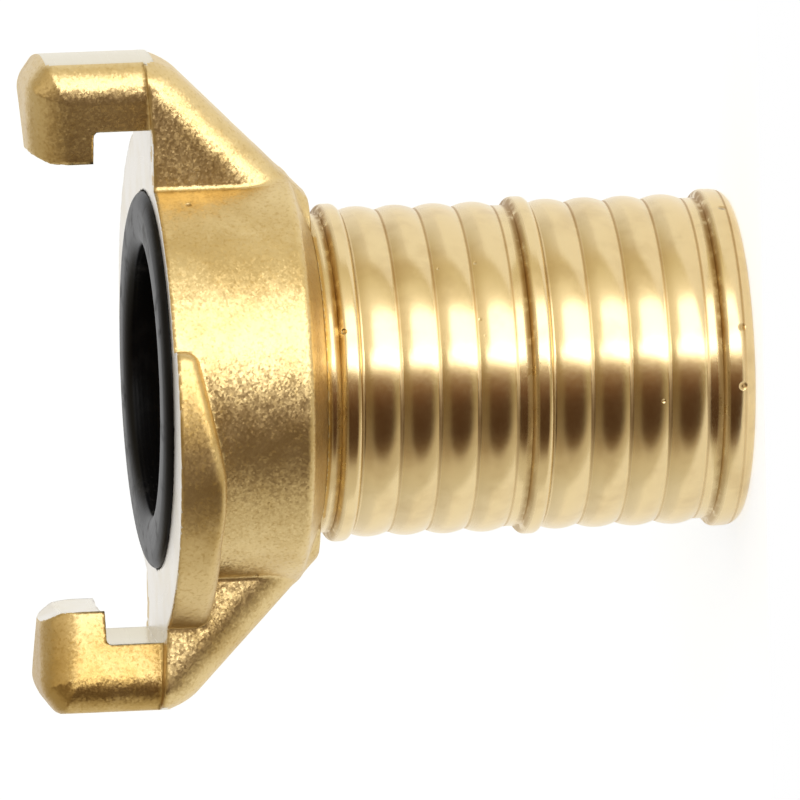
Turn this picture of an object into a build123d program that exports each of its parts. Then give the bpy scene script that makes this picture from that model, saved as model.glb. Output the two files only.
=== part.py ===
"""Quarter turn fire hose coupling half: forged brass body with two claws, and its rubber form seal.

The axis is +Z. The half stands on its hose tail's end at z = 0, with the claws up and opposite
each other along X. All sizes are in millimetres.
"""

import os
from math import cos, hypot, radians, sin, tan

from build123d import *

# Hose tail: end ring, then banks of ribs, each bank closed by a land and a big ring.
bore_d = 21.0
bore_chamfer = 0.8
tail_wall = 3.15
rib_h = 0.39
ring_h = 0.7
neck_drop = 0.1
end_edge_r = 1.9
end_flat = 0.325
land_w = 1.2
rib_pitch = 3.3
ribs_per_bank = 4
banks = 2
ring_flat = 0.5
ring_flank = 0.675
neck_w = 1.1

# Seal, and the undercut pocket that holds it. Its bore stands back from the waterway.
seal_back = 1.0
seal_w = 4.5
seal_proud = 0.75
seal_shoulder_w = 1.6
seal_lip_w = 1.7
seal_gap = 0.1
pocket_depth = 6.7
foot_h = 2.2
foot_over = 0.5
foot_gap = 0.1

# Collar around the pocket, with a steep cone down to the neck.
collar_wall = 1.7
collar_len = 11.65
cone_len = 1.8
collar_edge_r = 0.4

# Claws: turned inside and outside, milled on the flanks. The hooks pass over an equal collar.
tip_clearance = 1.65
hook_depth = 2.9
arm_t = 5.65
slot_w = 4.8
hook_t = 5.6
front_chamfer = 1.5
front_chamfer_r = 2.0
front_draft = 0.35
tip_lead = 1.6
tip_lead_r = 0.6
slot_corner_r = 0.4
arm_tip_half_w = 4.3
arm_draft = 19.0
arm_edge_r = 2.0

# Webs that carry the claws out from the collar.
web_outer_drop = 1.4
web_angle = 46.2
web_free_half_w = 6.1
web_rim_half_w = 7.7
web_draft = 5.0
web_edge_r = 2.8
web_sink = 0.3

# Rim segments with a ramped rear face that ends in a low crest. They turn inside an equal hook.
rim_clearance = 0.65
rim_span = 104.0
rim_t = 3.7
rim_tip_t = 1.6
rim_tip_edge_r = 1.0
rim_edge_r = 0.8
ramp_span = 33.0
crest_h = 0.55
crest_fall = 4.5
relief_step = 1.7
relief_angle = 3.5

# Radii that follow from the sizes above.
bore_r = bore_d / 2
valley_r = bore_r + tail_wall
rib_r = valley_r + rib_h
ring_r = valley_r + ring_h
neck_r = valley_r - neck_drop
seal_bore_r = bore_r + seal_back
seal_r = seal_bore_r + seal_w
pocket_r = seal_r + seal_gap
undercut_r = pocket_r + foot_over
foot_r = undercut_r - foot_gap
collar_r = pocket_r + collar_wall
tip_r = collar_r + tip_clearance
recess_r = tip_r + hook_depth
claw_r = recess_r + arm_t
rim_r = recess_r - rim_clearance
relief_r = collar_r + relief_step
web_in_r = collar_r - web_sink

# Heights and thicknesses that follow.
ring_w = ring_flat + 2 * ring_flank
end_ring_w = end_edge_r + end_flat + ring_flank
bank_len = land_w + ribs_per_bank * rib_pitch + ring_w
tail_top = end_ring_w + banks * bank_len
cone_z = tail_top + neck_w
collar_z = cone_z + cone_len
face_z = collar_z + collar_len
lock_z = face_z + slot_w
front_z = lock_z + hook_t
web_z = face_z - web_outer_drop
crest_t = rim_t + crest_h
pocket_z = face_z - pocket_depth
crown_z = face_z + seal_proud


def ring_flank_arc(foot_z, crest_z):
    """Draw a big ring's rounded flank, from its foot in the valley to the edge of its crest."""
    turn = radians(45)
    middle = (valley_r + ring_h * sin(turn), crest_z + (foot_z - crest_z) * cos(turn))
    ThreePointArc((valley_r, foot_z), middle, (ring_r, crest_z))


def trapezoid(low_x, low_w, high_x, high_w):
    """Draw a four-sided plan, each width given as (half width towards -Y, half width towards +Y)."""
    Polygon((low_x, -low_w[0]), (high_x, -high_w[0]), (high_x, high_w[1]), (low_x, low_w[1]), align=None)


# Turned core: tail, neck, cone and collar.
with BuildPart() as core:
    with BuildSketch(Plane.XZ):
        with BuildLine():
            Line((bore_r, 0), (ring_r - end_edge_r, 0))
            JernArc((ring_r - end_edge_r, 0), (1, 0), end_edge_r, 90)
            Line((ring_r, end_edge_r), (ring_r, end_edge_r + end_flat))
            ring_flank_arc(end_ring_w, end_edge_r + end_flat)
            for bank in range(banks):
                land_z = end_ring_w + bank * bank_len
                Line((valley_r, land_z), (valley_r, land_z + land_w))
                for rib in range(ribs_per_bank):
                    rib_z = land_z + land_w + rib * rib_pitch
                    ThreePointArc(
                        (valley_r, rib_z), (rib_r, rib_z + rib_pitch / 2), (valley_r, rib_z + rib_pitch)
                    )
                ring_top = land_z + bank_len
                ring_flank_arc(ring_top - ring_w, ring_top - ring_flank - ring_flat)
                Line((ring_r, ring_top - ring_flank - ring_flat), (ring_r, ring_top - ring_flank))
                ring_flank_arc(ring_top, ring_top - ring_flank)
            Polyline(
                (valley_r, tail_top),
                (neck_r, tail_top),
                (neck_r, cone_z),
                (collar_r, collar_z),
                (collar_r, face_z),
                (bore_r, face_z),
                (bore_r, 0),
            )
        make_face()
    revolve(axis=Axis.Z)
    rear_edge = core.edges().filter_by(GeomType.CIRCLE).sort_by(
        lambda e: abs(e.center().Z - collar_z) + abs(e.radius - collar_r)
    )[0]
    fillet(rear_edge, radius=collar_edge_r)

# Claw arm: ring section inside two drafted flanks.
with BuildPart() as arm:
    with BuildSketch(Plane.XZ):
        Polygon(
            (recess_r, face_z),
            (claw_r, face_z),
            (claw_r, front_z - front_chamfer),
            (claw_r - front_chamfer_r, front_z),
            (tip_r + tip_lead_r, front_z - front_draft),
            (tip_r, front_z - front_draft - tip_lead),
            (tip_r, lock_z),
            (recess_r, lock_z),
            align=None,
        )
    revolve(axis=Axis.Z)
    inner_x, outer_x = tip_r - hook_depth, claw_r + arm_t
    inner_w, outer_w = (arm_tip_half_w + (x - tip_r) * tan(radians(arm_draft)) for x in (inner_x, outer_x))
    with BuildSketch(Plane.XY.offset(face_z)):
        trapezoid(inner_x, (inner_w, inner_w), outer_x, (outer_w, outer_w))
    extrude(amount=front_z - face_z, mode=Mode.INTERSECT)
    flank_edges = [
        e
        for e in arm.edges()
        if abs(e.center().Y) > arm_tip_half_w / 2
        and max(v.Z for v in e.vertices()) > lock_z
        and max(v.X for v in e.vertices()) > recess_r
    ]
    fillet(flank_edges, radius=arm_edge_r)
    corner = arm.edges().filter_by(GeomType.CIRCLE).sort_by(
        lambda e: abs(e.radius - recess_r) + abs(e.center().Z - lock_z)
    )[0]
    fillet(corner, radius=slot_corner_r)

# Web: ring section under the arm, running down to the collar at a slant.
with BuildPart() as web:
    with BuildSketch(Plane.XZ):
        Polygon(
            (web_in_r, web_z - (claw_r - web_in_r) / tan(radians(web_angle))),
            (claw_r, web_z),
            (claw_r, face_z),
            (web_in_r, face_z),
            align=None,
        )
    revolve(axis=Axis.Z)
    inner_x, outer_x = collar_r / 2, claw_r + arm_t
    inner_grow, outer_grow = ((x - collar_r) * tan(radians(web_draft)) for x in (inner_x, outer_x))
    with BuildSketch(Plane.XY.offset(collar_z)):
        trapezoid(
            inner_x,
            (web_free_half_w + inner_grow, web_rim_half_w + inner_grow),
            outer_x,
            (web_free_half_w + outer_grow, web_rim_half_w + outer_grow),
        )
    extrude(amount=face_z - collar_z, mode=Mode.INTERSECT)
    slant_edges = [
        e
        for e in web.edges()
        if e.center().Z < face_z - web_outer_drop / 10
        and abs(e.tangent_at(0.5).Z) > 0.3
        and max(v.X for v in e.vertices()) > recess_r
    ]
    fillet(slant_edges, radius=web_edge_r)

# Rim segment: starts thin, ramps up to a low crest, then runs level into the web.
with BuildPart() as rim:
    with BuildSketch(Plane.XZ):
        Polygon(
            (web_in_r, face_z - crest_t),
            (rim_r, face_z - crest_t),
            (rim_r, face_z),
            (web_in_r, face_z),
            align=None,
        )
    revolve(axis=Axis.Z, revolution_arc=rim_span)
    mid = radians(rim_span - ramp_span / 2)
    outward, along = (cos(mid), sin(mid), 0), (-sin(mid), cos(mid), 0)
    crest_x = rim_r * sin(radians(ramp_span / 2))
    fall_x = rim_r * sin(radians(ramp_span / 2 + crest_fall))
    far_x = 2 * rim_r
    ramp = (crest_t - rim_tip_t) / (2 * crest_x)
    with BuildSketch(Plane(origin=(0, 0, face_z), x_dir=along, z_dir=outward)):
        Polygon(
            (-far_x, -rim_t),
            (-fall_x, -rim_t),
            (-crest_x, -crest_t),
            (2 * crest_x, ramp * 3 * crest_x - crest_t),
            (2 * crest_x, -2 * crest_t),
            (-far_x, -2 * crest_t),
            align=None,
        )
    extrude(amount=far_x, mode=Mode.SUBTRACT)
    turn = radians(90 + relief_angle)
    flat = (cos(turn), sin(turn), 0)
    split(bisect_by=Plane(origin=(relief_r * flat[0], relief_r * flat[1], face_z), z_dir=flat), keep=Keep.BOTTOM)
    tip_edge = [
        e
        for e in rim.edges().filter_by(GeomType.LINE)
        if face_z - rim_t < e.center().Z < face_z - rim_tip_t / 2 and abs(e.tangent_at(0.5).Z) < 0.5
    ]
    fillet(ShapeList(tip_edge).sort_by(Axis.X)[0], radius=rim_tip_edge_r)
    rear_edges = [
        e
        for e in rim.edges()
        if e.center().Z < face_z - rim_tip_t / 8
        and abs(e.tangent_at(0.5).Z) < 0.7
        and all(hypot(v.X, v.Y) > (collar_r + relief_r) / 2 for v in e.vertices())
        and min(v.Y for v in e.vertices()) > -rim_clearance
    ]
    fillet(rear_edges, radius=rim_edge_r)

# Coupling body: core with both claws, webs and rim segments, then the seal's undercut pocket.
with BuildPart() as coupling_body:
    add(core.part)
    with PolarLocations(0, 2):
        add(web.part)
        add(arm.part)
        add(rim.part)
    with BuildSketch(Plane.XZ):
        Polygon(
            (0, pocket_z),
            (undercut_r, pocket_z),
            (undercut_r, pocket_z + foot_h + foot_gap),
            (pocket_r, pocket_z + foot_h + foot_gap + foot_over),
            (pocket_r, crown_z),
            (0, crown_z),
            align=None,
        )
    revolve(axis=Axis.Z, mode=Mode.SUBTRACT)
    mouth = coupling_body.edges().filter_by(GeomType.CIRCLE).sort_by(
        lambda e: abs(e.center().Z) + abs(e.radius - bore_r)
    )[0]
    chamfer(mouth, length=bore_chamfer)

# Form seal: foot under the pocket's lip, barrel, and a rounded crown that stands proud of the face.
with BuildPart() as form_seal:
    with BuildSketch(Plane.XZ):
        with BuildLine():
            Polyline(
                (seal_bore_r, face_z),
                (seal_bore_r, pocket_z),
                (foot_r, pocket_z),
                (foot_r, pocket_z + foot_h),
                (seal_r, pocket_z + foot_h + foot_r - seal_r),
                (seal_r, face_z),
            )
            shoulder_r, lip_r = seal_r - seal_shoulder_w, seal_bore_r + seal_lip_w
            EllipticalCenterArc((shoulder_r, face_z), seal_shoulder_w, seal_proud, start_angle=0, arc_size=90)
            Line((shoulder_r, crown_z), (lip_r, crown_z))
            EllipticalCenterArc((lip_r, face_z), seal_lip_w, seal_proud, start_angle=90, arc_size=90)
        make_face()
    revolve(axis=Axis.Z)

os.makedirs("parts", exist_ok=True)
for name, part in (("coupling_body", coupling_body.part), ("form_seal", form_seal.part)):
    part.label = name
    export_step(part, f"parts/{name}.step")
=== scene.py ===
"""Quarter turn fire hose coupling half: cast brass head with two claws, rolled hose tail, rubber form seal.

The axis is +Z. The half stands on its hose tail's end at z = 0, with the claws up and opposite each
other along X. Sizes in the classes are in millimetres, and meshes are made in metres. Lift is degrees
round the axis from -Y towards +X, and swing is degrees from the level towards +Z.
"""

import logging
import math
from dataclasses import dataclass, field, fields
from enum import Enum
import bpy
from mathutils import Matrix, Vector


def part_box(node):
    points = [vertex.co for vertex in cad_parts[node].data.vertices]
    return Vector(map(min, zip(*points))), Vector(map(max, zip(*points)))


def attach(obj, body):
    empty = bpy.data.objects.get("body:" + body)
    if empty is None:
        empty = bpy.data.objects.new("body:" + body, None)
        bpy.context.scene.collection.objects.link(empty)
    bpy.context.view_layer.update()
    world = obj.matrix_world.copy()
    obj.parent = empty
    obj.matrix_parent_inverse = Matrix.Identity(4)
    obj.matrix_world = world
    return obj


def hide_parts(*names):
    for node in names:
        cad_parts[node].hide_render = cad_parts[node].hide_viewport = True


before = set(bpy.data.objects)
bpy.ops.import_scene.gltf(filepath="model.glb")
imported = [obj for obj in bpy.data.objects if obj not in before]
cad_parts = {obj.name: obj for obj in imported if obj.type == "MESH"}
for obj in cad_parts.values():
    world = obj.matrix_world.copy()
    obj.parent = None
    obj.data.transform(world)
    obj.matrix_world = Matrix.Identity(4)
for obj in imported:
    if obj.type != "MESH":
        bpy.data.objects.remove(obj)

from types import SimpleNamespace
from typing import Any, Callable, Iterable, NamedTuple, Sequence

import bpy
import numpy as np
from mathutils import Matrix, Vector

log = logging.getLogger("coupling")

MM = 0.001
SEED = 7
KNOCK_CORE = 0.35
Colour = tuple[float, float, float]
Span = tuple[float, float]
Array = np.ndarray
Field = Callable[[Array, Array, Array], Array]
Socket = bpy.types.NodeSocket
Material = bpy.types.Material
Thing = bpy.types.Object


class Slot(Enum):
    """The record's material slots."""

    BRASS = "brass"
    SEAL = "seal_rubber"


class Knock(NamedTuple):
    """A small knock in a surface: radius from the axis, lift, height and size."""

    radius: float
    lift: float
    height: float
    size: float


def spots(*rows: tuple[float, float, float, float]) -> tuple[Knock, ...]:
    """Return rows of numbers as knocks."""
    return tuple(Knock(*row) for row in rows)


class Cloud(NamedTuple):
    """A noise: feature size, detail, roughness, gain and, for patches, where between 0 and 1 they fade in."""

    size: float
    detail: float
    roughness: float
    gain: float = 1.0
    fade: Span | None = None


class Grain(NamedTuple):
    """Facets of a blasted skin: their size and how far they lean."""

    size: float
    tilt: float


# ---- node graphs ----


class Graph:
    """Adds nodes to one node tree."""

    def __init__(self, tree: bpy.types.NodeTree) -> None:
        """Wrap a node tree.

        Args:
            tree: the shader or geometry tree that receives the nodes.
        """
        self.tree = tree

    def node(self, kind: str, inputs: dict[Any, Any] | None = None, **settings: Any) -> bpy.types.Node:
        """Add a node, apply its settings, then set or link its inputs.

        Args:
            kind: the node's type name.
            inputs: a value, socket or Value for each input, by name or place.
            settings: attributes of the node; "stops" fills a colour ramp with (place, colour) pairs.

        Returns:
            The new node.
        """
        node = self.tree.nodes.new(kind)
        for name, setting in settings.items():
            if name == "stops":
                self._fill_ramp(node.color_ramp, setting)
            else:
                setattr(node, name, setting)
        for key, source in (inputs or {}).items():
            self.feed(node.inputs[key], source)
        return node

    def socket(self, kind: str, inputs: dict[Any, Any] | None = None, **settings: Any) -> Socket:
        """Add a node, as node() does, and return its first output."""
        return self.node(kind, inputs, **settings).outputs[0]

    @staticmethod
    def _fill_ramp(ramp: bpy.types.ColorRamp, stops: Sequence[tuple[float, Colour]]) -> None:
        """Give a colour ramp its stops."""
        while len(ramp.elements) < len(stops):
            ramp.elements.new(1.0)
        for element, (place, colour) in zip(ramp.elements, stops):
            element.position = place
            element.color = (*colour, 1.0)

    def feed(self, socket: Socket, source: Any) -> None:
        """Link a socket or Value into an input, or set the input's own value."""
        if isinstance(source, Value):
            source = source.socket
        if isinstance(source, Socket):
            self.tree.links.new(source, socket)
        elif isinstance(source, tuple) and socket.type == "RGBA":
            socket.default_value = (*source, 1.0)
        else:
            socket.default_value = source

    def value(self, node: bpy.types.Node, output: str | int = 0) -> "Value":
        """Return one output of a node as a Value."""
        return Value(self, node.outputs[output])

    def parts(self, vector: Socket) -> list["Value"]:
        """Return a vector's x, y and z."""
        node = self.node("ShaderNodeSeparateXYZ", {0: vector})
        return [self.value(node, axis) for axis in range(3)]

    def rays(self, *kinds: str) -> "Value":
        """Return 1 for rays of some kinds of the Light Path node, and 0 for the others."""
        path = self.node("ShaderNodeLightPath")
        total: Any = 0.0
        for kind in kinds:
            total = self.value(path, kind) + total
        return total.at_most(1.0)

    def math(self, operation: str, *operands: Any) -> "Value":
        """Add a Math node for an operation on Values and numbers."""
        return self.value(self.node("ShaderNodeMath", dict(enumerate(operands)), operation=operation))

    def vector(self, operation: str, *operands: Any) -> Socket:
        """Add a Vector Math node; what follows the vector of SCALE is a number or Value."""
        inputs = {3 if operation == "SCALE" and place else place: each for place, each in enumerate(operands)}
        return self.socket("ShaderNodeVectorMath", inputs, operation=operation)

    def step(self, amount: Any, low: float, high: float) -> "Value":
        """Return a smooth 0 to 1 step as a value goes from low to high."""
        inputs = {0: amount, 1: low, 2: high, 3: 0.0, 4: 1.0}
        return self.value(self.node("ShaderNodeMapRange", inputs, interpolation_type="SMOOTHSTEP"))

    def window(self, amount: Any, rise: Span, fall: Span) -> "Value":
        """Return 1 between a smooth step up and a smooth step down, and 0 outside them."""
        return self.step(amount, *rise) * (1.0 - self.step(amount, *fall))

    def mix(self, factor: Any, first: Any, second: Any, blend: str = "MIX") -> Socket:
        """Mix two colours by a factor, with a blend mode, and return the colour socket."""
        inputs = {0: factor, 6: first, 7: second}
        return self.node("ShaderNodeMix", inputs, data_type="RGBA", blend_type=blend).outputs[2]

    def place(self) -> "Place":
        """Return the Object coordinates in millimetres."""
        vector = self.vector("SCALE", self.node("ShaderNodeTexCoord").outputs["Object"], 1.0 / MM)
        x, y, z = self.parts(vector)
        return Place(x, y, z, self.math("SQRT", x * x + y * y), vector)

    def cloud(self, cloud: Cloud, vector: Socket) -> "Value":
        """Add a noise texture at a place in millimetres and return its amount, faded if it is patches."""
        inputs = {"Scale": 1.0 / cloud.size, "Detail": cloud.detail, "Roughness": cloud.roughness}
        amount = self.value(self.node("ShaderNodeTexNoise", {"Vector": vector, **inputs}), "Fac")
        return (self.step(amount, *cloud.fade) if cloud.fade else amount) * cloud.gain

    def clouds(self, place: "Place", *clouds: Cloud) -> list["Value"]:
        """Add several noises at a place."""
        return [self.cloud(each, place.vector) for each in clouds]

    def rings(self, place: "Place", cloud: Cloud) -> "Value":
        """Add noise that changes only with radius and height, as the marks of a lathe do."""
        return self.cloud(cloud, self.socket("ShaderNodeCombineXYZ", {0: place.radius, 1: place.z}))

    def knocks(self, knocks: Sequence[Knock], place: "Place") -> "Value":
        """Return 1 inside small knocks and 0 elsewhere, with a soft edge."""
        total: Any = 0.0
        for knock in knocks:
            turn = math.radians(knock.lift)
            centre = (knock.radius * math.sin(turn), -knock.radius * math.cos(turn), knock.height)
            node = self.node("ShaderNodeVectorMath", {0: place.vector, 1: centre}, operation="DISTANCE")
            core = knock.size * KNOCK_CORE
            total = 1.0 - self.step(self.value(node, "Value"), core, knock.size) + total
        return total

    def bump(self, height: Any) -> Socket:
        """Return the normal as bent by a height in millimetres."""
        return self.socket("ShaderNodeBump", {"Strength": 1.0, "Distance": MM, "Height": height})


def operator(operation: str, turned: bool = False) -> Callable[["Value", Any], "Value"]:
    """Make a method of Value that adds a Math node; if turned, the other operand comes first."""

    def method(self: "Value", other: Any) -> "Value":
        """Combine this with a Value or number."""
        return self.graph.math(operation, *((other, self) if turned else (self, other)))

    return method


class Value:
    """A number socket that takes part in Python expressions by adding Math nodes."""

    def __init__(self, graph: Graph, socket: Socket) -> None:
        """Wrap one output socket of a graph."""
        self.graph = graph
        self.socket = socket

    __add__ = __radd__ = operator("ADD")
    __sub__ = operator("SUBTRACT")
    __rsub__ = operator("SUBTRACT", turned=True)
    __mul__ = __rmul__ = operator("MULTIPLY")
    __truediv__ = operator("DIVIDE")
    __pow__ = operator("POWER")
    at_least = operator("MAXIMUM")
    at_most = operator("MINIMUM")

    def abs(self) -> "Value":
        """Return the absolute value."""
        return self.graph.math("ABSOLUTE", self)


class Place(NamedTuple):
    """A place on the object in millimetres: along the axes, from the +Z axis, and as one vector."""

    x: Value
    y: Value
    z: Value
    radius: Value
    vector: Socket


def new_graph(owner: Material | bpy.types.World) -> Graph:
    """Give a new material or world an empty node tree and return the tree's graph."""
    owner.use_nodes = True
    owner.node_tree.nodes.clear()
    return Graph(owner.node_tree)


# ---- finishes ----


@dataclass(frozen=True, kw_only=True)
class Finish:
    """A material whose looks are worked out from the place on the object."""

    name: str

    def looks(self, graph: Graph, place: Place) -> dict[str, Any]:
        """Work out the looks.

        Args:
            graph: the material's graph.
            place: the place on the object.

        Returns:
            The Principled shader's inputs by name.
        """
        raise NotImplementedError

    def make(self) -> Material:
        """Build the material."""
        material = bpy.data.materials.new(self.name)
        graph = new_graph(material)
        shader = graph.socket("ShaderNodeBsdfPrincipled", self.looks(graph, graph.place()))
        graph.node("ShaderNodeOutputMaterial", {"Surface": shader})
        return material


@dataclass(frozen=True, kw_only=True)
class BlastedBrass(Finish):
    """Cast brass, shot blasted to a fine sparkling grain, rubbed on the webs, with painted shade on the -X
    claw.
    """

    name: str = "blasted_brass"
    colour: Colour = (0.73, 0.56, 0.275)
    deep_colour: Colour = (0.52, 0.35, 0.12)
    dent_colour: Colour = (0.16, 0.08, 0.02)
    roughness: float = 0.36
    stain: Cloud = Cloud(5.556, 3.0, 0.6, 0.45, (0.42, 0.68))
    fleck: Cloud = Cloud(0.3, 2.0, 0.5, 0.4, (0.50, 0.75))
    fleck_roughness: float = 0.25
    # Painted shade: the -X claw is darkened where it turns away from the key light.
    claw_painted_shade_x: Span = (18.5, 22.5)
    claw_painted_shade_z: Span = (49.8, 50.3)
    claw_painted_shade_share: float = 0.7
    rubbed_r: Span = (18.6, 19.1)
    rubbed_y: Span = (10.0, 11.5)
    rubbed_share: float = 0.3
    rubbed_roughness: float = 0.02
    rubbed_calm: float = 0.5
    lumps: Cloud = Cloud(0.9, 2.0, 0.5, 0.016)
    grains: tuple[Grain, ...] = (Grain(0.17, 0.15), Grain(0.36, 0.06))
    dent_share: float = 0.55
    dent_depth: float = 0.12
    knocks: tuple[Knock, ...] = spots(
        (17.8, 62.0, 47.3, 0.34), (20.7, 9.0, 48.6, 0.55), (21.2, 7.0, 47.9, 0.3), (17.8, 118.0, 44.0, 0.3),
        (17.8, -150.0, 46.2, 0.28), (21.7, 165.0, 48.0, 0.4), (17.8, -64.0, 42.2, 0.22),
    )

    def looks(self, graph: Graph, place: Place) -> dict[str, Any]:
        """See Finish."""
        stain, fleck, lumps = graph.clouds(place, self.stain, self.fleck, self.lumps)
        rubbed = graph.step(place.radius, *self.rubbed_r) * graph.step(place.y.abs(), *self.rubbed_y)
        # Painted shade darkens the -X claw, fading in from 18.5 to 22.5 mm along -X, above the face.
        claw_painted_shade = graph.step(0.0 - place.x, *self.claw_painted_shade_x) * graph.step(place.z, *self.claw_painted_shade_z)
        dent = graph.knocks(self.knocks, place)
        # Real stains, flecks and wear, plus the painted shade of the -X claw, pull the colour towards
        # deep_colour.
        deep = (stain + fleck + claw_painted_shade * self.claw_painted_shade_share + rubbed * self.rubbed_share).at_most(1.0)
        normal = graph.bump(lumps - dent * self.dent_depth)
        for size, tilt in self.grains:
            grains = graph.node("ShaderNodeTexVoronoi", {"Vector": place.vector, "Scale": 1.0 / size})
            lean = graph.vector("SUBTRACT", grains.outputs["Color"], (0.5, 0.5, 0.5))
            lean = graph.vector("SCALE", lean, tilt * (1.0 - rubbed * self.rubbed_calm))
            normal = graph.vector("ADD", normal, lean)
        skin = graph.mix(deep, self.colour, self.deep_colour)
        return {
            "Base Color": graph.mix(dent * self.dent_share, skin, self.dent_colour),
            "Roughness": self.roughness + fleck * self.fleck_roughness + rubbed * self.rubbed_roughness,
            "Metallic": 1.0,
            "Normal": graph.vector("NORMALIZE", normal),
        }


@dataclass(frozen=True, kw_only=True)
class TurnedBrass(Finish):
    """Lathe-turned bright brass with fine tool rings, and painted shade from the claws' recesses outwards."""

    name: str = "turned_brass"
    colour: Colour = (0.84, 0.80, 0.73)
    shadow_colour: Colour = (0.77, 0.70, 0.56)
    # Painted shade: from a radius of about 22.2 mm out, the claws' recesses and outer faces are darkened.
    outer_painted_shade_colour: Colour = (0.73, 0.67, 0.53)
    outer_painted_shade_r: Span = (22.1, 22.3)
    outer_painted_shade_share: float = 0.85
    stain: Cloud = Cloud(4.545, 3.0, 0.55, 0.7, (0.40, 0.70))
    roughness: float = 0.24
    tool_rings: Cloud = Cloud(0.11, 2.0, 0.6, 0.10)
    ring_height: float = 0.016

    def looks(self, graph: Graph, place: Place) -> dict[str, Any]:
        """See Finish."""
        rings = graph.rings(place, self.tool_rings)
        clean = graph.mix(graph.cloud(self.stain, place.vector), self.colour, self.shadow_colour)
        # Painted shade on the claws' recesses and outer faces.
        outer_painted_shade = graph.step(place.radius, *self.outer_painted_shade_r) * self.outer_painted_shade_share
        return {
            "Base Color": graph.mix(outer_painted_shade, clean, self.outer_painted_shade_colour),
            "Roughness": self.roughness + rings,
            "Metallic": 1.0,
            "Normal": graph.bump(rings * self.ring_height),
        }


@dataclass(frozen=True, kw_only=True)
class RolledBrass(Finish):
    """Brass rolled and polished, with small knocks, and with patina in the valleys of a tail."""

    tail: "HoseTail"
    name: str = "rolled_brass"
    colour: Colour = (0.78, 0.61, 0.33)
    valley_colour: Colour = (0.38, 0.22, 0.07)
    outside: Span = (-0.5, -0.3)
    line_w: float = 0.20
    line_end: float = 0.01
    foot_w: Span = (0.1, 0.55)
    foot_dirt: Cloud = Cloud(1.4286, 3.0, 0.6, 1.1, (0.30, 0.55))
    valley_share: float = 0.25
    upper_x: Span = (1.5, 4.5)
    upper_share: float = 0.5
    stain: Cloud = Cloud(3.846, 3.0, 0.6, 0.20, (0.45, 0.72))
    roughness: float = 0.17
    valley_roughness: float = 0.2
    rub: Cloud = Cloud(0.4, 3.0, 0.6, 0.10)
    rub_height: float = 0.016
    waves: Cloud = Cloud(2.4, 1.0, 0.4, 0.012)
    dent_share: float = 0.6
    dent_depth: float = 0.09
    knocks: tuple[Knock, ...] = spots(
        (14.2, 21.0, 35.0, 0.3), (14.0, 44.5, 26.5, 0.22), (14.0, 46.5, 23.3, 0.28), (14.0, 24.0, 23.4, 0.3),
        (14.1, 18.0, 23.1, 0.26), (14.3, 10.0, 20.2, 0.36), (14.0, -7.5, 8.0, 0.24), (14.0, 44.0, 3.5, 0.22),
        (14.2, 69.0, 1.4, 0.45), (14.3, 17.0, 1.2, 0.4), (14.3, -3.0, 1.3, 0.42), (14.6, 4.0, 19.0, 0.3),
        (14.0, 150.0, 12.0, 0.35), (14.2, -120.0, 27.0, 0.4), (14.0, -160.0, 6.0, 0.3),
        (14.3, 110.0, 18.9, 0.35), (14.0, -52.0, 4.2, 0.2), (14.1, -62.0, 21.0, 0.25),
    )

    def _valley(self, graph: Graph, place: Place) -> Value:
        """Return the dirt between ribs and at the feet of lands and rings, on the outside only."""
        tail = self.tail
        along = graph.math("FLOORED_MODULO", place.z - tail.end_w, tail.bank_len)
        start = tail.land_w - self.line_w
        end = tail.land_w + tail.ribs_len + self.line_w
        ribbed = graph.window(along, (start, start + self.line_end), (end, end + self.line_end))
        rib = graph.math("PINGPONG", along - tail.land_w, tail.rib_pitch / 2)
        lines = (1.0 - graph.step(rib, 0.0, self.line_w)) * ribbed
        foot = along.at_most(tail.bank_len - along)
        feet = (1.0 - graph.step(foot, *self.foot_w)) * graph.cloud(self.foot_dirt, place.vector)
        return lines.at_least(feet) * graph.step(place.radius - tail.valley_r, *self.outside)

    def looks(self, graph: Graph, place: Place) -> dict[str, Any]:
        """See Finish."""
        stain, rub, waves = graph.clouds(place, self.stain, self.rub, self.waves)
        valley = self._valley(graph, place)
        upper = graph.step(place.x, *self.upper_x) * self.upper_share
        dent = graph.knocks(self.knocks, place)
        dirt = valley * (self.valley_share + upper) + stain + dent * self.dent_share
        return {
            "Base Color": graph.mix(dirt.at_most(1.0), self.colour, self.valley_colour),
            "Roughness": self.roughness + rub + valley * self.valley_roughness,
            "Metallic": 1.0,
            "Normal": graph.bump(waves + rub * self.rub_height - dent * self.dent_depth),
        }


@dataclass(frozen=True, kw_only=True)
class SealRubber(Finish):
    """Black moulded rubber, slightly scuffed, most of all towards its +X and -X ends."""

    name: str = "seal_rubber_skin"
    colour: Colour = (0.004, 0.004, 0.005)
    scuff_colour: Colour = (0.10, 0.10, 0.105)
    scuff: Cloud = Cloud(2.381, 4.0, 0.65, 0.5, (0.50, 0.74))
    speck: Cloud = Cloud(0.3125, 2.0, 0.5, 0.2, (0.60, 0.75))
    towards_x_ends: Span = (0.62, 0.92)
    towards_x_ends_share: float = 0.85
    least_share: float = 0.08
    roughness: float = 0.33
    scuff_roughness: float = 0.4
    specular: float = 0.13
    skin: Cloud = Cloud(0.3846, 3.0, 0.6, 0.012)
    steps: Cloud = Cloud(0.45, 1.0, 0.5, 0.03)

    def looks(self, graph: Graph, place: Place) -> dict[str, Any]:
        """See Finish."""
        scuff, speck, skin = graph.clouds(place, self.scuff, self.speck, self.skin)
        # Scuffs gather towards the +X and -X ends.
        towards_x_ends = graph.step(place.x.abs() / place.radius, *self.towards_x_ends) * self.towards_x_ends_share
        marks = (scuff + speck) * (towards_x_ends + self.least_share)
        return {
            "Base Color": graph.mix(marks, self.colour, self.scuff_colour),
            "Roughness": self.roughness + scuff * self.scuff_roughness,
            "Specular IOR Level": self.specular,
            "Normal": graph.bump(skin + graph.rings(place, self.steps)),
        }


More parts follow.
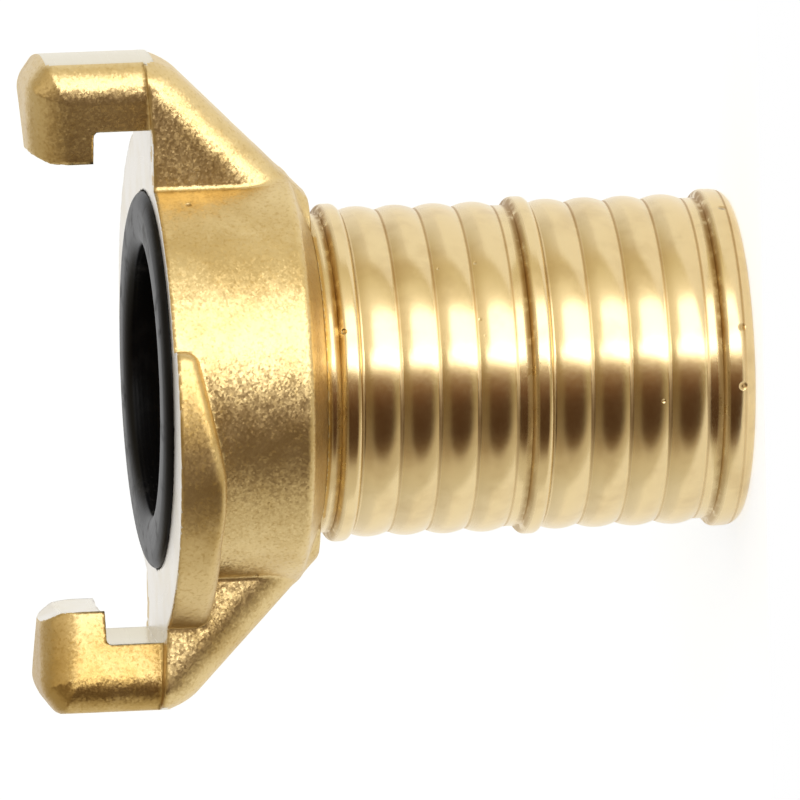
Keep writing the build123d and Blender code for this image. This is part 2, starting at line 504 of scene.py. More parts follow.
# ---- solid fields ----


def cut(first: Array, second: Array, radius: float = 0.0) -> Array:
    """Intersect two distance fields, with a rounded outer edge.

    Args:
        first: distances in millimetres, negative inside.
        second: distances of the other solid.
        radius: the edge's radius.

    Returns:
        The distances of what the two solids share.
    """
    if not radius:
        return np.maximum(first, second)
    corner = np.hypot(np.maximum(first + radius, 0), np.maximum(second + radius, 0))
    return np.minimum(np.maximum(first, second), -radius) + corner


def join(first: Array, second: Array, radius: float = 0.0) -> Array:
    """Unite two distance fields, with a fillet in the inner corner.

    Args:
        first: distances in millimetres, negative inside.
        second: distances of the other solid.
        radius: the fillet's radius.

    Returns:
        The distances of both solids together.
    """
    return -cut(-first, -second, radius)


def slope(across: Array, up: Array, rise: float, run: float) -> Array:
    """Return the distance past a plane whose outward normal goes along by run and up by rise."""
    return (across * run + up * rise) / math.hypot(rise, run)


class FieldMesher:
    """Turns a distance field into a closed quad mesh that keeps sharp edges.

    REACH is the half step of the gradient at crossings, PULL draws a vertex to the middle of its
    crossings, and SLACK is the share of a cell by which it may leave the cell.
    """

    REACH = 0.02
    PULL = 0.02
    SLACK = 0.05
    TINY = 1e-12

    def __init__(self, solid: Field, low: Array, high: Array, step: float) -> None:
        """Set the field and the grid.

        Args:
            solid: function of x, y and z in millimetres that gives distances, negative inside.
            low: lowest corner of the space to search.
            high: highest corner.
            step: the grid's cell size.
        """
        self.solid = solid
        self.step = step
        self.axes = [np.arange(a, b + step, step) for a, b in zip(low, high)]
        self.low = np.array([axis[0] for axis in self.axes])

    def normals(self, points: Array, reach: float) -> Array:
        """Return the field's unit gradient at points, from differences over a short reach."""
        columns = []
        for axis in range(3):
            shift = np.zeros(3)
            shift[axis] = reach
            ahead, behind = points + shift, points - shift
            columns.append(self.solid(*ahead.T) - self.solid(*behind.T))
        gradient = np.stack(columns, 1)
        return gradient / np.maximum(np.linalg.norm(gradient, axis=1, keepdims=True), self.TINY)

    def _crossings(self) -> Iterable[tuple[Array, Array, Array]]:
        """Give, for each axis, the surface points on grid edges, their four cells and which way is out."""
        x, y, z = self.axes
        grid = self.solid(x[:, None, None], y[None, :, None], z[None, None, :])
        inside = grid < 0
        cells = np.array(grid.shape) - 1
        for axis in range(3):
            near = tuple(slice(None, -1) if a == axis else slice(1, -1) for a in range(3))
            far = tuple(slice(1, None) if a == axis else slice(1, -1) for a in range(3))
            found = np.argwhere(inside[near] != inside[far])
            found[:, [a for a in range(3) if a != axis]] += 1
            ahead = found.copy()
            ahead[:, axis] += 1
            value, other = grid[tuple(found.T)], grid[tuple(ahead.T)]
            points = self.low + found * self.step
            points[:, axis] += self.step * value / (value - other)
            second, third = (axis + 1) % 3, (axis + 2) % 3
            around = []
            for back_second, back_third in ((1, 1), (0, 1), (0, 0), (1, 0)):
                cell = found.copy()
                cell[:, second] -= back_second
                cell[:, third] -= back_third
                around.append(np.ravel_multi_index(tuple(cell.T), tuple(cells)))
            around = np.stack(around, 1)
            leaving = inside[tuple(found.T)]
            yield points, np.where(leaving[:, None], around, around[:, ::-1]), cells

    def build(self) -> tuple[Array, Array]:
        """Find the surface.

        Returns:
            The vertices in millimetres and the quads.
        """
        parts = list(self._crossings())
        points = np.concatenate([p for p, _, _ in parts])
        quads = np.concatenate([q for _, q, _ in parts])
        cells = parts[0][2]
        normals = self.normals(points, self.REACH)
        ids, flat = np.unique(quads, return_inverse=True)
        faces = flat.reshape(quads.shape)
        owner = faces.ravel()
        count = np.bincount(owner).astype(float)

        def gather(amount: Array) -> Array:
            """Add up an amount of each crossing over its cells."""
            return np.bincount(owner, weights=np.repeat(amount, 4), minlength=len(ids))

        middle = np.stack([gather(points[:, a]) for a in range(3)], 1) / count[:, None]
        reach = np.einsum("ij,ij->i", normals, points)
        pull = self.PULL * count
        matrix = np.empty((len(ids), 3, 3))
        for a in range(3):
            for b in range(3):
                matrix[:, a, b] = gather(normals[:, a] * normals[:, b]) + (pull if a == b else 0)
        right = np.stack([gather(normals[:, a] * reach) for a in range(3)], 1) + pull[:, None] * middle
        corners = np.linalg.solve(matrix, right[:, :, None])[:, :, 0]
        cell_low = self.low + np.stack(np.unravel_index(ids, tuple(cells)), 1) * self.step
        slack = self.SLACK * self.step
        return np.clip(corners, cell_low - slack, cell_low + (1 + self.SLACK) * self.step), faces


def link(name: str, data: bpy.types.ID) -> Thing:
    """Put new data in the scene as an object."""
    thing = bpy.data.objects.new(name, data)
    bpy.context.scene.collection.objects.link(thing)
    return thing


def mesh_object(
    name: str, vertices: Array, faces: Iterable[Sequence[int]], materials: Sequence[Material]
) -> Thing:
    """Make a smooth-shaded mesh object from millimetre vertices.

    Args:
        name: the object's name.
        vertices: points in millimetres.
        faces: lists of vertex numbers.
        materials: the materials of its slots.

    Returns:
        The new object, linked to the scene.
    """
    mesh = bpy.data.meshes.new(name)
    mesh.from_pydata((np.asarray(vertices) * MM).tolist(), [], [list(map(int, f)) for f in faces])
    mesh.polygons.foreach_set("use_smooth", [True] * len(mesh.polygons))
    for material in materials:
        mesh.materials.append(material)
    mesh.update()
    return link(name, mesh)


# ---- the head ----


@dataclass
class CastHead:
    """Collar, claws, webs and rim segments in one casting, turned on its face, pocket and claws."""

    front_z: float
    claw_r: float
    finish: BlastedBrass = field(default_factory=BlastedBrass)
    turned_finish: TurnedBrass = field(default_factory=TurnedBrass)
    cell: float = 0.274
    margin: float = 1.0
    neck_margin: float = 1.03
    depth_share: float = 0.78
    shading_reach: float = 0.05
    bore_r: float = 10.5
    pocket_r: float = 16.1
    pocket_z: float = 43.25
    undercut_r: float = 16.6
    undercut_h: float = 2.3
    neck_z: float = 36.5
    neck_r: float = 13.55
    collar_r: float = 17.8
    collar_z: float = 38.3
    collar_edge_r: float = 0.5
    hook_t: float = 5.6
    slot_w: float = 4.8
    tip_r: float = 19.45
    recess_r: float = 22.35
    front_chamfer: float = 1.5
    front_chamfer_r: float = 2.0
    front_draft: float = 0.35
    tip_lead: float = 1.6
    tip_lead_r: float = 0.6
    slot_corner_r: float = 0.4
    claw_edge_r: float = 0.6
    arm_tip_half_w: float = 4.3
    arm_draft: float = 19.0
    arm_edge_r: float = 3.4
    arm_root: float = 0.5
    stock: float = 0.2
    web_outer_drop: float = 1.33
    web_angle: float = 45.4
    web_free_half_w: float = 6.1
    web_rim_half_w: float = 7.7
    web_draft: float = 5.0
    web_edge_r: float = 2.8
    web_corner_r: float = 1.6
    rim_r: float = 21.7
    rim_span: float = 104.0
    rim_t: float = 3.7
    rim_tip_t: float = 1.6
    rim_tip_edge_r: float = 1.0
    rim_edge_r: float = 1.2
    rim_top_stock: float = 0.6
    ramp_span: float = 33.0
    crest_h: float = 0.55
    crest_fall: float = 4.5
    ramp_round_r: float = 1.5
    relief_r: float = 21.7
    relief_centre: Span = (2.6, -1.05)
    relief_edge_r: float = 0.5
    root_fillet_r: float = 0.25
    crease_r: float = 0.1
    crease_rise: float = 0.08
    edge_break: float = 0.13
    skin_waves: int = 14
    skin_lengths: Span = (1.8, 6.5)
    skin_height: float = 0.0025

    @property
    def lock_z(self) -> float:
        """Height of the hooks' locking faces."""
        return self.front_z - self.hook_t

    @property
    def face_z(self) -> float:
        """Height of the turned mating face."""
        return self.lock_z - self.slot_w

    def _skin(self, x: Array, y: Array, z: Array) -> Array:
        """Return the slow unevenness of the cast surface."""
        draw = np.random.default_rng(SEED)
        height = 0.0
        for _ in range(self.skin_waves):
            direction = draw.normal(size=3)
            direction *= 2 * math.pi / draw.uniform(*self.skin_lengths) / np.linalg.norm(direction)
            phase = draw.uniform(0, 2 * math.pi)
            height = height + np.sin(direction[0] * x + direction[1] * y + direction[2] * z + phase)
        return height * self.skin_height

    def _outline(self, r: Array, z: Array) -> Array:
        """Return the distance past the claws' outer cylinder, front chamfer and front face."""
        front_run = self.claw_r - self.front_chamfer_r - self.tip_r - self.tip_lead_r
        side, up = r - self.claw_r, z - self.front_z
        chamfer = slope(side, up + self.front_chamfer, self.front_chamfer_r, self.front_chamfer)
        front = slope(side + self.front_chamfer_r, up, front_run, -self.front_draft)
        return cut(cut(side - self.stock, chamfer, self.claw_edge_r), front, self.claw_edge_r)

    def _arm(self, x: Array, y: Array, z: Array, r: Array) -> Array:
        """Return the +X claw's arm, before turning."""
        draft = math.radians(self.arm_draft)
        flank = (np.abs(y) - self.arm_tip_half_w - (x - self.tip_r) * math.tan(draft)) * math.cos(draft)
        return cut(cut(self._outline(r, z), flank, self.arm_edge_r), self.face_z - self.arm_root - z)

    def _web(self, x: Array, y: Array, z: Array, r: Array) -> Array:
        """Return the +X claw's web."""
        draft = math.radians(self.web_draft)
        grow = (x - self.collar_r) * math.tan(draft)
        steep = math.tan(math.radians(self.web_angle))
        slant = slope(r - self.claw_r, z - self.face_z + self.web_outer_drop, -steep, 1.0)
        free = (-y - self.web_free_half_w - grow) * math.cos(draft)
        rimward = (y - self.web_rim_half_w - grow) * math.cos(draft)
        body = cut(cut(slant, free, self.web_edge_r), rimward, self.web_edge_r)
        outer = cut(body, r - self.claw_r - self.stock, self.web_corner_r)
        top = z - self.face_z - np.maximum(r - self.recess_r, 0) * self.crease_rise
        return cut(cut(outer, top, self.edge_break), self.collar_r / 2 - x)

    def _rim(self, x: Array, y: Array, z: Array, r: Array) -> Array:
        """Return the rim segment that starts at the +X web."""
        half = math.radians(self.ramp_span / 2)
        crest_x = self.rim_r * math.sin(half)
        fall_x = self.rim_r * math.sin(half + math.radians(self.crest_fall))
        crest_t = self.rim_t + self.crest_h
        middle = math.radians(self.rim_span - self.ramp_span / 2)
        along = -x * math.sin(middle) + y * math.cos(middle)
        depth = self.face_z - z
        ramp = slope(depth - crest_t, along + crest_x, crest_t - self.rim_tip_t, 2 * crest_x)
        fall = slope(depth - crest_t, -(along + crest_x), self.crest_h, fall_x - crest_x)
        bottom = cut(join(depth - self.rim_t, fall, self.ramp_round_r), ramp, self.ramp_round_r)
        relief = np.hypot(x - self.relief_centre[0], y - self.relief_centre[1]) - self.relief_r
        end_turn = math.radians(self.rim_span)
        end = -x * math.sin(end_turn) + y * math.cos(end_turn)
        side = cut(r - self.rim_r, relief, self.relief_edge_r)
        body = cut(cut(side, bottom, self.rim_edge_r), end, self.rim_tip_edge_r)
        return cut(cut(body, -y), -depth - self.rim_top_stock)

    def _half(self, x: Array, y: Array, z: Array, r: Array) -> Array:
        """Return the +X claw with its web and rim segment."""
        claw = join(self._web(x, y, z, r), self._arm(x, y, z, r), self.crease_r)
        return join(claw, self._rim(x, y, z, r), self.crease_r)

    def cast(self, x: Array, y: Array, z: Array) -> Array:
        """Return the raw casting as distances in millimetres."""
        r = np.hypot(x, y)
        cone_rise, cone_run = self.neck_r - self.collar_r, self.collar_z - self.neck_z
        cone = slope(r - self.collar_r, z - self.collar_z, cone_rise, cone_run)
        collar = cut(r - self.collar_r, cone, self.collar_edge_r)
        claws = np.minimum(self._half(x, y, z, r), self._half(-x, -y, z, r))
        return join(collar, claws, self.root_fillet_r) + self._skin(x, y, z)

    def _turned(self, x: Array, y: Array, z: Array) -> Array:
        """Return the distances of what turning and boring leave, negative where metal stays."""
        r = np.hypot(x, y)
        slot = cut(r - self.recess_r, z - self.lock_z, self.slot_corner_r)
        past = self.tip_r + self.tip_lead_r - r
        lead = slope(past, z - self.front_z + self.front_draft, self.tip_lead_r, self.tip_lead)
        mouth = cut(join(slot, join(r - self.tip_r, -lead)), self.face_z - z)
        lip = (r - self.undercut_r + z - self.pocket_z - self.undercut_h) / math.sqrt(2)
        undercut = cut(r - self.undercut_r, lip)
        pocket = cut(join(r - self.pocket_r, undercut), self.pocket_z - z)
        hollow = join(join(mouth, pocket), r - self.bore_r)
        return cut(cut(-hollow, r - self.claw_r), self.neck_z - z)

    def solid(self, x: Array, y: Array, z: Array) -> Array:
        """Return the finished head as distances in millimetres."""
        return cut(self.cast(x, y, z), self._turned(x, y, z), self.edge_break)

    def build(self) -> Thing:
        """Make the head's mesh, with the turned faces in their own finish.

        Returns:
            The head's object.
        """
        reach = self.claw_r + self.margin
        low = np.array([-reach, -reach * self.depth_share, self.neck_z - self.neck_margin])
        high = np.array([reach, reach * self.depth_share, self.front_z + self.margin])
        mesher = FieldMesher(self.solid, low, high, self.cell)
        vertices, faces = mesher.build()
        thing = mesh_object("cast_head", vertices, faces, [self.finish.make(), self.turned_finish.make()])
        middles = vertices[faces].mean(1)
        turned = self._turned(*middles.T) > self.cast(*middles.T)
        thing.data.polygons.foreach_set("material_index", turned.astype(np.int32))
        normals = mesher.normals(vertices, self.shading_reach)
        thing.data.normals_split_custom_set_from_vertices(normals.tolist())
        return thing


# ---- the hose tail ----


@dataclass
class HoseTail:
    """Rolled tail: an end ring, then banks of ribs, each between a land and a big ring.

    The lengths, the numbers of things and end_fullness, which is how square the end's round is, become
    the node tree's named inputs.
    """

    around: int = 256
    bore_r: float = 10.5
    bore_chamfer: float = 0.8
    valley_r: float = 13.65
    rib_h: float = 0.39
    ring_h: float = 0.7
    neck_drop: float = 0.1
    end_edge_r: float = 1.9
    end_fullness: float = 0.76
    end_flat: float = 0.325
    land_w: float = 1.2
    rib_pitch: float = 3.3
    ribs_per_bank: int = 4
    banks: int = 2
    ring_flat: float = 0.5
    ring_flank: float = 0.675
    neck_w: float = 1.1

    @property
    def end_w(self) -> float:
        """Height of the end ring."""
        return self.end_edge_r + self.end_flat + self.ring_flank

    @property
    def ribs_len(self) -> float:
        """Length of one bank's ribs."""
        return self.ribs_per_bank * self.rib_pitch

    @property
    def bank_len(self) -> float:
        """Length of one bank with its land and ring."""
        return self.land_w + self.ribs_len + self.ring_flat + 2 * self.ring_flank

    def build(self) -> Thing:
        """Make the tail with Geometry Nodes and return it as a plain mesh object."""
        tree = TailTree(self, RolledBrass(tail=self).make())
        holder = link("tail_holder", bpy.data.meshes.new("tail_holder"))
        modifier = holder.modifiers.new("tail", "NODES")
        modifier.node_group = tree.group
        for identifier, amount in tree.settings.items():
            modifier[identifier] = amount
        depsgraph = bpy.context.evaluated_depsgraph_get()
        mesh = bpy.data.meshes.new_from_object(holder.evaluated_get(depsgraph))
        mesh.name = "hose_tail"
        holder.modifiers.remove(modifier)
        bpy.data.objects.remove(holder)
        mesh.polygons.foreach_set("use_smooth", [True] * len(mesh.polygons))
        return link("hose_tail", mesh)


class TailTree:
    """The node tree that turns the tail's sizes into rings, ribs and lands round the axis.

    PLAIN names the inputs that aren't lengths, the ROWS are numbers of spans, and WELD is in metres.
    """

    PLAIN = ("end_fullness",)
    ROUND_ROWS = 14
    FLANK_ROWS = 8
    LAND_ROWS = 2
    INSIDE_ROWS = (1, 2, 2, 24, 2, 2)
    WELD = 2e-6

    def __init__(self, sizes: HoseTail, material: Material) -> None:
        """Build the tree.

        Args:
            sizes: the tail's sizes, which become the tree's named inputs.
            material: the finish of the whole tail.
        """
        self.group = bpy.data.node_groups.new("hose_tail_rule", "GeometryNodeTree")
        self.group.is_modifier = True
        self.graph = Graph(self.group)
        self.settings: dict[str, Any] = {}
        names = [each.name for each in fields(sizes)]
        for name in names:
            amount = getattr(sizes, name)
            kind = "NodeSocketInt" if isinstance(amount, int) else "NodeSocketFloat"
            socket = self.group.interface.new_socket(name, in_out="INPUT", socket_type=kind)
            plain = isinstance(amount, int) or name in self.PLAIN
            self.settings[socket.identifier] = amount if plain else amount * MM
        self.group.interface.new_socket("Geometry", in_out="OUTPUT", socket_type="NodeSocketGeometry")
        entry = self.graph.node("NodeGroupInput")
        self.inputs = SimpleNamespace(**{name: self.graph.value(entry, name) for name in names})
        self._assemble(material)

    def _band(self, rows: int, profile: Callable[[Value], tuple[Any, Any]]) -> Socket:
        """Revolve a profile round the axis.

        Args:
            rows: the number of spans along the profile.
            profile: gives the radius and height for a Value that runs from 0 to 1.

        Returns:
            The band's geometry.
        """
        g = self.graph
        inputs = {"Vertices X": self.inputs.around + 1.0, "Vertices Y": rows + 1}
        grid = g.socket("GeometryNodeMeshGrid", {"Size X": 1.0, "Size Y": 1.0, **inputs})
        across, along, _ = g.parts(g.socket("GeometryNodeInputPosition"))
        angle = (across + 0.5) * (2 * math.pi)
        radius, height = profile(along + 0.5)
        point = {0: g.math("COSINE", angle) * radius, 1: g.math("SINE", angle) * radius, 2: height}
        target = g.socket("ShaderNodeCombineXYZ", point)
        return g.socket("GeometryNodeSetPosition", {0: grid, "Position": target})

    def _ruled(self, start: tuple[Any, Any], end: tuple[Any, Any], rows: int = 1) -> Socket:
        """Revolve a straight line between two (radius, height) points."""
        return self._band(rows, lambda t: tuple(a * (1.0 - t) + t * b for a, b in zip(start, end)))

    def _repeat(self, geometry: Socket, count: Any, pitch: Any, start: Any) -> Socket:
        """Repeat geometry up the axis.

        Args:
            geometry: what to repeat.
            count: how many times.
            pitch: the distance between two copies.
            start: the first copy's height.

        Returns:
            The instances.
        """
        step, first = (self.graph.socket("ShaderNodeCombineXYZ", {2: each}) for each in (pitch, start))
        inputs = {"Count": count, "Start Location": first, "Offset": step}
        line = self.graph.socket("GeometryNodeMeshLine", inputs)
        return self.graph.socket("GeometryNodeInstanceOnPoints", {"Points": line, "Instance": geometry})

    def _gather(self, parts: Sequence[Socket]) -> Socket:
        """Join several geometries into one."""
        node = self.graph.node("GeometryNodeJoinGeometry")
        for part in parts:
            self.graph.tree.links.new(part, node.inputs[0])
        return node.outputs[0]

    def _assemble(self, material: Material) -> None:
        """Lay out the whole tail, close it and give it its material."""
        g, i = self.graph, self.inputs
        valley, bore_r, chamfer = i.valley_r, i.bore_r, i.bore_chamfer
        ring_h, flank, edge_r, fullness = i.ring_h, i.ring_flank, i.end_edge_r, i.end_fullness
        ring_r = valley + ring_h
        ring_w = i.ring_flat + 2.0 * flank
        end_w = edge_r + i.end_flat + flank
        bank = i.land_w + i.ribs_per_bank * i.rib_pitch + ring_w
        top = end_w + i.banks * bank
        neck_r, neck_top = valley - i.neck_drop, top + i.neck_w
        centre_r = ring_r - edge_r

        def arc(t: Value) -> tuple[Value, Value]:
            """Sine and cosine of a quarter turn."""
            return g.math("SINE", t * (math.pi / 2)), g.math("COSINE", t * (math.pi / 2))

        def end_round(t: Value) -> tuple[Any, Any]:
            """Profile of the end's large outer round."""
            sine, cosine = arc(t)
            return centre_r + sine**fullness * edge_r, edge_r - cosine**fullness * edge_r

        def rising(t: Value) -> tuple[Any, Any]:
            """Profile of a ring's lower flank, from its foot at zero height."""
            sine, cosine = arc(t)
            return valley + sine * ring_h, flank - cosine * flank

        def falling(start: Value) -> Callable[[Value], tuple[Any, Any]]:
            """Profile of a ring's upper flank that starts at a height."""
            return lambda t: (valley + arc(t)[1] * ring_h, start + arc(t)[0] * flank)

        def rib(t: Value) -> tuple[Any, Any]:
            """Profile of one rib."""
            bow = 1.0 - (2.0 * t - 1.0) * (2.0 * t - 1.0)
            return valley + bow * i.rib_h, t * i.rib_pitch

        end_crest, crest = edge_r + i.end_flat, flank + i.ring_flat
        land = self._ruled((valley, 0.0), (valley, i.land_w), self.LAND_ROWS)
        ring = self._gather([
            self._band(self.FLANK_ROWS, rising),
            self._ruled((ring_r, flank), (ring_r, crest)),
            self._band(self.FLANK_ROWS, falling(crest)),
        ])
        rib_band = self._band(self.ROUND_ROWS, rib)
        ribs = self._repeat(rib_band, i.ribs_per_bank, i.rib_pitch, end_w + i.land_w)
        inside = (
            (valley, top), (neck_r, top), (neck_r, neck_top), (bore_r, neck_top), (bore_r, chamfer),
            (bore_r + chamfer, 0.0), (centre_r, 0.0),
        )
        whole = self._gather([
            self._band(self.ROUND_ROWS, end_round),
            self._ruled((ring_r, edge_r), (ring_r, end_crest)),
            self._band(self.FLANK_ROWS, falling(end_crest)),
            self._repeat(ribs, i.banks, bank, 0.0),
            self._repeat(land, i.banks, bank, end_w),
            self._repeat(ring, i.banks, bank, end_w + bank - ring_w),
            *(self._ruled(*ends, rows) for *ends, rows in zip(inside, inside[1:], self.INSIDE_ROWS)),
        ])
        real = g.socket("GeometryNodeRealizeInstances", {0: whole})
        merged = g.socket("GeometryNodeMergeByDistance", {0: real, "Distance": self.WELD})
        real = g.socket("GeometryNodeRealizeInstances", {0: merged})
        g.node("NodeGroupOutput", {0: g.socket("GeometryNodeSetMaterial", {0: real, "Material": material})})


# ---- the seal ----


@dataclass
class FormSeal:
    """Rubber ring with a foot under the pocket's lip and a crown that stands proud of the face."""

    foot_z: float
    crown_z: float
    finish: SealRubber = field(default_factory=SealRubber)
    around: int = 256
    bore_r: float = 11.5
    barrel_r: float = 16.0
    foot_r: float = 16.5
    foot_h: float = 2.2
    proud: float = 0.75
    shoulder_w: float = 1.6
    lip_w: float = 1.7
    round_steps: int = 10

    def _profile(self) -> list[tuple[float, float]]:
        """Return the section as (radius, height) points, counter-clockwise."""
        face_z = self.crown_z - self.proud
        foot_top = self.foot_z + self.foot_h
        points = [(self.bore_r, self.foot_z), (self.foot_r, self.foot_z), (self.foot_r, foot_top)]
        points.append((self.barrel_r, foot_top + self.foot_r - self.barrel_r))
        turns = [math.pi / 2 * k / self.round_steps for k in range(self.round_steps + 1)]
        shoulder_r, lip_r = self.barrel_r - self.shoulder_w, self.bore_r + self.lip_w
        arcs = ((shoulder_r, self.shoulder_w, 0.0), (lip_r, self.lip_w, math.pi / 2))
        for centre_r, width, start in arcs:
            for turn in turns:
                across, up = math.cos(turn + start), math.sin(turn + start)
                points.append((centre_r + width * across, face_z + self.proud * up))
        return points

    def build(self) -> Thing:
        """Make the seal's closed mesh."""
        profile = np.array(self._profile())
        turns = np.arange(self.around) * 2 * math.pi / self.around
        count = len(profile)
        x = np.outer(np.cos(turns), profile[:, 0])
        y = np.outer(np.sin(turns), profile[:, 0])
        z = np.tile(profile[:, 1], (self.around, 1))
        vertices = np.stack([x, y, z], 2).reshape(-1, 3)
        step, ring = np.meshgrid(np.arange(count), np.arange(self.around))
        after, beside = (ring + 1) % self.around, (step + 1) % count
        quads = [ring * count + step, after * count + step, after * count + beside, ring * count + beside]
        faces = np.stack([q.ravel() for q in quads], 1)
        return mesh_object("seal_ring", vertices, faces, [self.finish.make()])


# ---- the studio ----


def towards(lift: float, swing: float) -> Vector:
    """Return the direction from the object at a lift and swing in degrees."""
    up, side = math.radians(lift), math.radians(swing)
    return Vector((math.sin(up) * math.cos(side), -math.cos(up) * math.cos(side), math.sin(side)))


def stand(name: str, data: bpy.types.ID, axes: Sequence[Vector], spot: Vector) -> Thing:
    """Stand a camera or lamp in the scene.

    Args:
        name: the new object's name.
        data: the camera or lamp.
        axes: its right, up and backward directions.
        spot: its place in metres.

    Returns:
        The new object.
    """
    thing = link(name, data)
    thing.matrix_world = Matrix.Translation(spot) @ Matrix(axes).transposed().to_4x4()
    return thing


@dataclass(frozen=True)
class SoftLamp:
    """A soft area lamp aimed at the object: its size is width along Z and height, in metres."""

    name: str
    lift: float
    swing: float
    size: Span
    watts: float
    reach: float
    colour: Colour = (0.94, 0.965, 1.0)

    def build(self, target: Vector) -> None:
        """Hang the lamp at its reach, in metres, from a target."""
        data = bpy.data.lights.new(self.name, "AREA")
        data.shape = "RECTANGLE"
        data.size, data.size_y = self.size
        data.energy = self.watts
        data.color = self.colour
        back = towards(self.lift, self.swing)
        right = (Vector((0, 0, 1)) - back * back.z).normalized()
        thing = stand(self.name, data, (right, back.cross(right), back), target + back * self.reach)
        thing.visible_camera = False


@dataclass(frozen=True)
class Dome:
    """The world: white for the camera and behind the object, and elsewhere a pale room for the brass.

    The room is a ring of (lift, colour) stops. A second, dark ring takes over low down on the camera's
    side, and in part above it; dark_shape is its centre, reach and power, each for lift and swing.
    """

    peak: float = 1.5
    white: Colour = (1.0, 1.0, 1.0)
    white_y: Span = (0.6, 0.95)
    pale_ring: tuple[tuple[float, Colour], ...] = (
        (-180, (0.74, 0.74, 0.76)), (-95, (0.78, 0.77, 0.72)), (-72, (0.76, 0.71, 0.60)),
        (-48, (0.62, 0.55, 0.42)), (-27, (0.42, 0.35, 0.22)), (-2, (0.44, 0.36, 0.20)),
        (9, (0.62, 0.52, 0.34)), (17, (1.20, 1.16, 1.06)), (50, (1.22, 1.17, 1.07)),
        (63, (0.98, 0.92, 0.76)), (75, (0.82, 0.75, 0.55)), (90, (0.72, 0.62, 0.42)),
        (108, (0.70, 0.63, 0.46)), (130, (0.78, 0.77, 0.74)), (180, (0.80, 0.80, 0.82)),
    )
    dark_ring: tuple[tuple[float, Colour], ...] = (
        (-74, (0.76, 0.70, 0.58)), (-61, (0.32, 0.22, 0.12)), (-51, (0.14, 0.075, 0.035)),
        (-42, (0.07, 0.034, 0.015)), (-20, (0.08, 0.036, 0.014)), (-10, (0.15, 0.06, 0.018)),
        (-2, (0.24, 0.12, 0.035)), (5, (0.36, 0.22, 0.09)), (11, (1.0, 0.95, 0.85)),
    )
    dark_shape: tuple[Span, Span, Span] = ((-20.0, -9.0), (38.0, 30.0), (4.0, 2.0))
    dark_fade: Span = (0.5, 1.7)
    dark_end: Span = (7.0, 13.0)
    above_start: Span = (-80.0, -58.0)
    above_rise: Span = (5.0, 20.0)
    above_fall: Span = (60.0, 82.0)
    above_share: float = 0.55
    tint: Colour = (0.72, 0.64, 0.50)
    tint_swing: Span = (5.0, 45.0)
    tint_share: float = 0.8
    horizon: Colour = (0.95, 0.95, 0.97)
    horizon_swing: Span = (-2.0, 32.0)
    horizon_y: Span = (-0.15, 0.2)
    horizon_share: float = 0.75

    def _scaled(self, colour: Colour) -> Colour:
        """Return a colour as a share of the dome's peak."""
        return tuple(part / self.peak for part in colour)

    def _ring(self, graph: Graph, lift: Value, stops: Sequence[tuple[float, Colour]]) -> Socket:
        """Return the colour of a ring of stops at a lift."""
        ramp = [((place + 180) / 360, self._scaled(colour)) for place, colour in stops]
        return graph.socket("ShaderNodeValToRGB", {0: (lift + 180.0) / 360.0}, stops=ramp)

    def _darkness(self, graph: Graph, lift: Value, swing: Value) -> Value:
        """Return how much the dark ring takes over at a lift and swing."""
        off: Any = 0.0
        for angle, centre, reach, power in zip((lift, swing), *self.dark_shape):
            off = ((angle - centre).abs() / reach) ** power + off
        front = 1.0 - graph.step(lift, *self.dark_end)
        low = (1.0 - graph.step(off, *self.dark_fade)) * front
        above = graph.window(swing, self.above_rise, self.above_fall) * graph.step(lift, *self.above_start)
        return low.at_least(above * front * self.above_share)

    def build(self) -> None:
        """Make the world."""
        world = bpy.data.worlds.new("studio")
        bpy.context.scene.world = world
        graph = new_graph(world)
        x, y, z = graph.parts(graph.node("ShaderNodeTexCoord").outputs["Generated"])
        lift = graph.math("ARCTAN2", x, 0.0 - y) * (180 / math.pi)
        swing = graph.math("ARCSINE", z) * (180 / math.pi)
        tint = graph.mix(graph.step(swing, *self.tint_swing) * self.tint_share, self.white, self.tint)
        room = graph.mix(1.0, self._ring(graph, lift, self.pale_ring), tint, "MULTIPLY")
        horizon = (1.0 - graph.step(swing, *self.horizon_swing)) * graph.step(y, *self.horizon_y)
        room = graph.mix(horizon * self.horizon_share, room, self._scaled(self.horizon))
        room = graph.mix(self._darkness(graph, lift, swing), room, self._ring(graph, lift, self.dark_ring))
        behind = graph.rays("Is Glossy Ray", "Is Transmission Ray") * graph.step(y, *self.white_y)
        seen = (graph.rays("Is Camera Ray") + behind).at_most(1.0)
        strength = self.peak + seen * (1.0 - self.peak)
        inputs = {"Color": graph.mix(seen, room, self.white), "Strength": strength}
        graph.node("ShaderNodeOutputWorld", {"Surface": graph.socket("ShaderNodeBackground", inputs)})


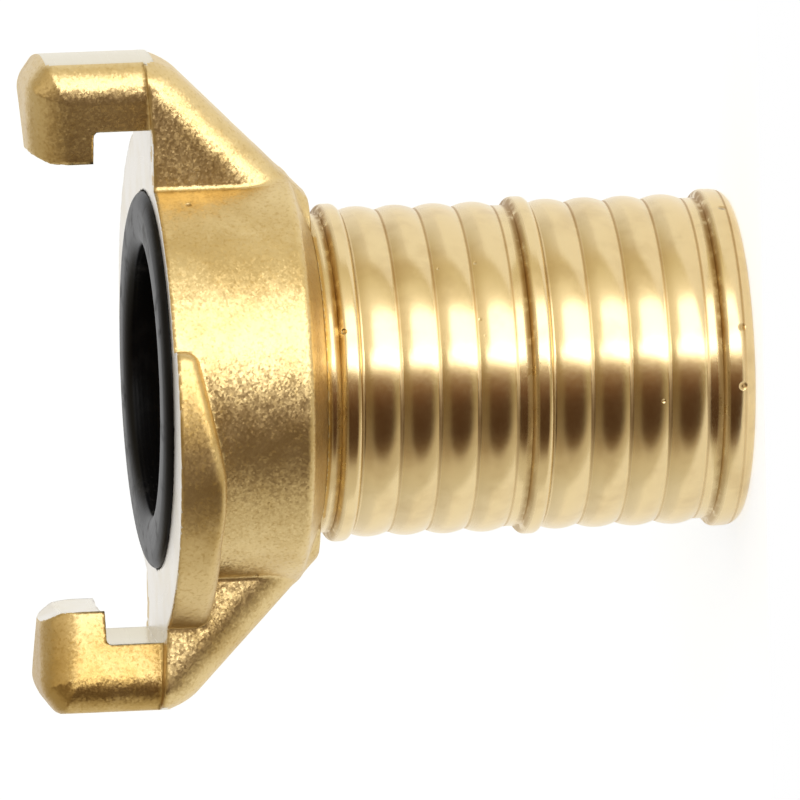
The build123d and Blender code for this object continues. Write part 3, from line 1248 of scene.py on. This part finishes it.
@dataclass
class Studio:
    """Pale floor, soft light and the camera."""

    dome: Dome = field(default_factory=Dome)
    lamps: tuple[SoftLamp, ...] = (
        SoftLamp("key_softbox", 32.0, -22.0, (1.5, 0.72), 5.6, 1.1),
        SoftLamp("strip_light", 14.5, -17.0, (1.8, 0.17), 3.0, 1.05),
    )
    distance: float = 1.4
    dots_per_mm: float = 11.78
    lift: float = 7.35
    swing: float = 7.73
    roll: float = -2.33
    centre: tuple[float, float, float] = (0.0, 0.0, 30.0)
    image: int = 800
    aim: Span = (382.777, 370.401)
    sensor: float = 36.0
    clip_end: float = 20.0
    floor_reach: float = 5000.0
    floor_front: float = 17.0
    floor_colour: Colour = (0.82, 0.85, 0.90)
    glow_colour: Colour = (0.86, 0.92, 1.0)
    glow: float = 0.64

    def camera(self) -> None:
        """Make the camera, lying on its side with +X up, and set it as the scene's."""
        roll = math.radians(self.roll)
        back = towards(self.lift, self.swing)
        down = Vector((0, 0, -1))
        level = (down - back * down.dot(back)).normalized()
        across = back.cross(level)
        right = level * math.cos(roll) + across * math.sin(roll)
        up = across * math.cos(roll) - level * math.sin(roll)
        data = bpy.data.cameras.new("camera")
        data.sensor_width = self.sensor
        data.lens = self.dots_per_mm * self.distance / MM * self.sensor / self.image
        data.clip_end = self.clip_end
        shift_x, shift_y = ((self.image / 2 - aim) / self.dots_per_mm for aim in self.aim)
        spot = (Vector(self.centre) + right * shift_x - up * shift_y) * MM + back * self.distance
        bpy.context.scene.camera = stand("camera", data, (right, up, back), spot)

    def floor(self) -> None:
        """Make the pale floor, which keeps the object's shadow and glows for all but diffuse rays."""
        material = bpy.data.materials.new("floor_white")
        graph = new_graph(material)
        diffuse = graph.socket("ShaderNodeBsdfDiffuse", {"Color": self.floor_colour})
        strength = graph.rays("Is Camera Ray", "Is Glossy Ray", "Is Transmission Ray") * self.glow
        glow = graph.socket("ShaderNodeEmission", {"Color": self.glow_colour, "Strength": strength})
        both = graph.socket("ShaderNodeAddShader", {0: diffuse, 1: glow})
        graph.node("ShaderNodeOutputMaterial", {"Surface": both})
        far, near = self.floor_reach, -self.floor_front
        corners = [(-far, near, 0.0), (far, near, 0.0), (far, far, 0.0), (-far, far, 0.0)]
        thing = mesh_object("floor", np.array(corners), [(0, 1, 2, 3)], [material])

    def build(self) -> None:
        """Set up the whole studio."""
        bpy.context.scene.view_settings.view_transform = "Standard"
        self.camera()
        self.floor()
        self.dome.build()
        for lamp in self.lamps:
            lamp.build(Vector(self.centre) * MM)


def main() -> None:
    """Build the studio and the coupling's pieces, and tie them to the frame."""
    logging.basicConfig(level=logging.INFO, format="%(name)s: %(message)s")
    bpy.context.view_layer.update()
    _, body_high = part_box("coupling_body")
    seal_low, seal_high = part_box("form_seal")
    Studio().build()
    head = CastHead(front_z=body_high.z / MM, claw_r=body_high.x / MM).build()
    tail = HoseTail().build()
    seal = FormSeal(foot_z=seal_low.z / MM, crown_z=seal_high.z / MM).build()
    pieces = (
        (head, "coupling_body", Slot.BRASS),
        (tail, "coupling_body", Slot.BRASS),
        (seal, "form_seal", Slot.SEAL),
    )
    for piece, node, slot in pieces:
        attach(piece, "root")
        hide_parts(node)
        log.info("%s: %d faces", piece.name, len(piece.data.polygons))


if __name__ == "__main__":
    main()
